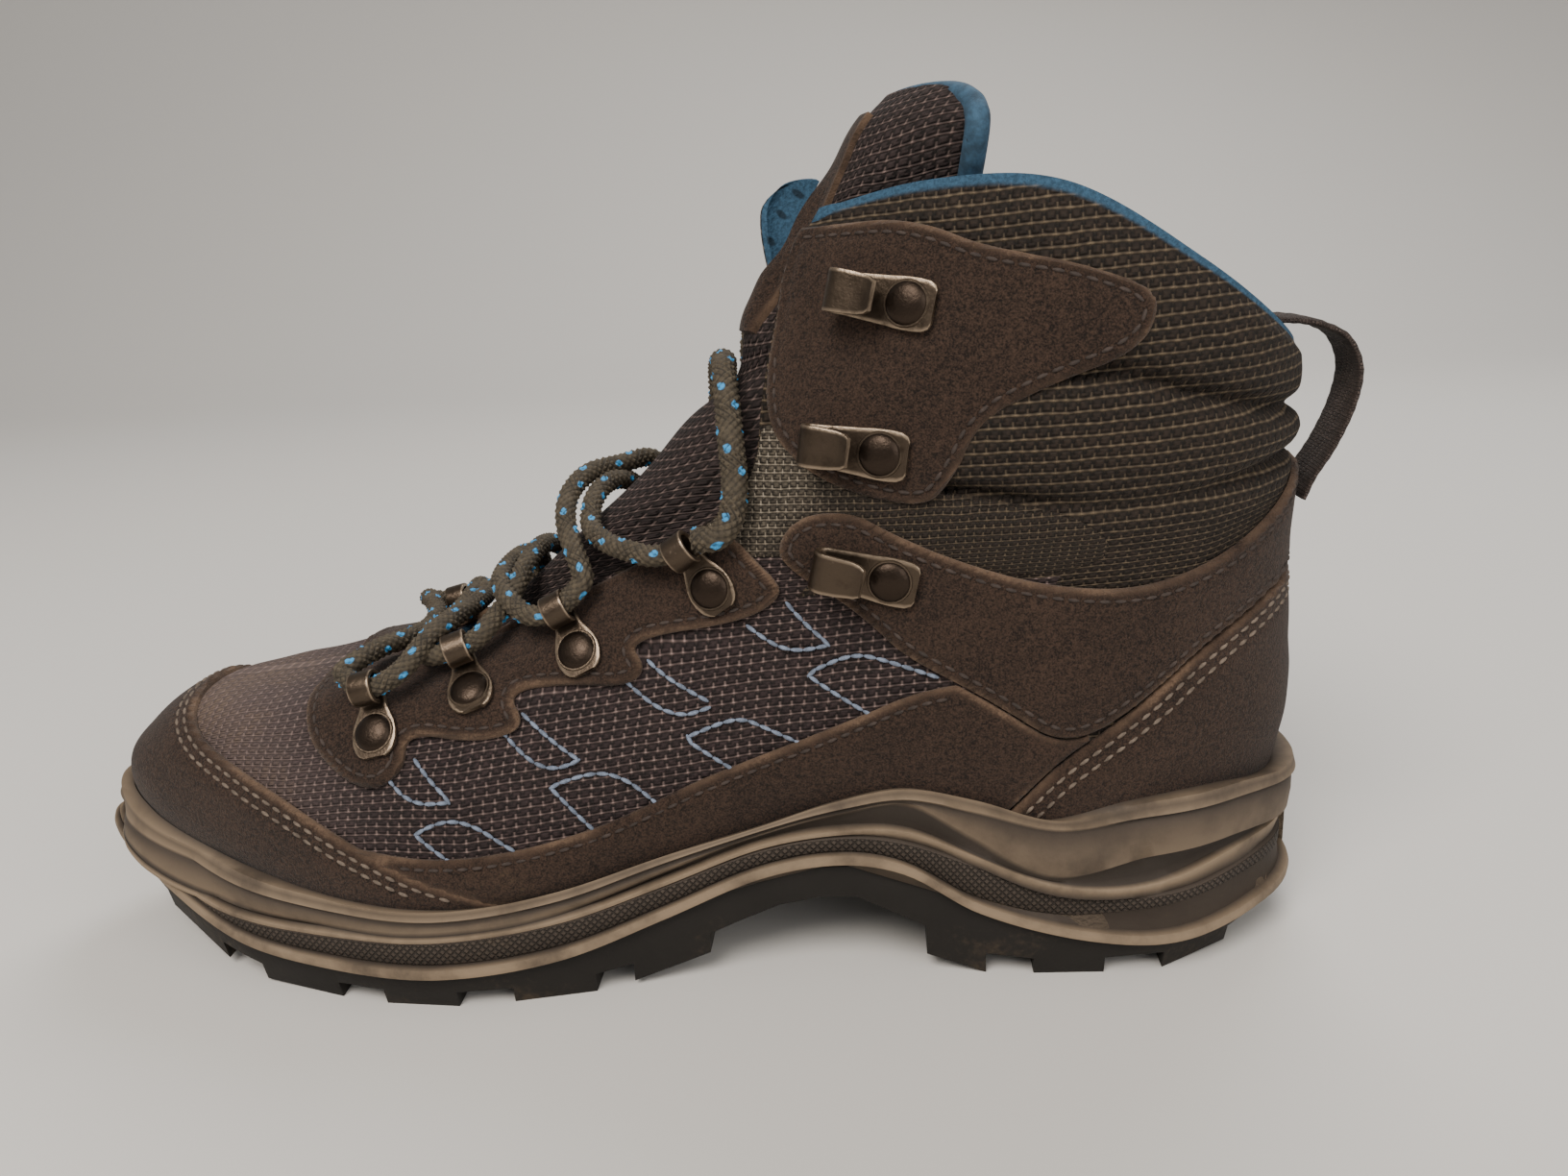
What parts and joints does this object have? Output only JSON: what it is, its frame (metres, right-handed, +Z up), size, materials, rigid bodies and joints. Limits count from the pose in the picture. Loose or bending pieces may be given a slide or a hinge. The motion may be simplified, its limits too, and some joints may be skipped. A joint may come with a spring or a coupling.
{
  "type": "hiking boot",
  "caption": "Mid-cut brown suede and textile hiking boot for the right foot, muddy and worn, with metal lace loops, open hooks and a lugged rubber sole.",
  "frame": {"origin": "centre of the bounding box on the floor under the sole", "axes": "+X from the toe to the heel, +Y to the boot's lateral side, +Z up"},
  "size_m": [0.2836, 0.098, 0.1782],
  "materials": {
    "suede": "rough suede, scuffed and dusty",
    "mesh_textile": "coarse woven mesh",
    "footbed": "matt felt",
    "webbing": "woven tape",
    "lace": "round braid with blue flecks",
    "midsole": "matt, dried mud in its grooves",
    "outsole": "matt, worn",
    "gunmetal": "dark plated, edges worn bright"
  },
  "bodies": {
    "root": {"ankle_patch_lateral": "suede", "ankle_patch_medial": "suede", "eyestay": "suede", "heel_counter": "suede", "insole": "footbed", "lace_bar": "lace", "lace_cross_1": "lace", "lace_cross_2": "lace", "lace_cross_3": "lace", "lace_end_lateral": "lace", "lace_end_medial": "lace", "lace_loop_1_lateral": "gunmetal", "lace_loop_1_medial": "gunmetal", "lace_loop_2_lateral": "gunmetal", "lace_loop_2_medial": "gunmetal", "lace_loop_3_lateral": "gunmetal", "lace_loop_3_medial": "gunmetal", "lace_loop_4_lateral": "gunmetal", "lace_loop_4_medial": "gunmetal", "midsole": "midsole", "outsole": "outsole", "pull_loop": "webbing", "quarter": "suede", "rand_lateral": "suede", "rand_medial": "suede", "speed_hook_1_lateral": "gunmetal", "speed_hook_1_medial": "gunmetal", "speed_hook_2_lateral": "gunmetal", "speed_hook_2_medial": "gunmetal", "speed_hook_3_lateral": "gunmetal", "speed_hook_3_medial": "gunmetal", "toe_cap": "suede", "tongue": "mesh_textile", "upper": "mesh_textile"}
  },
  "joints": []
}
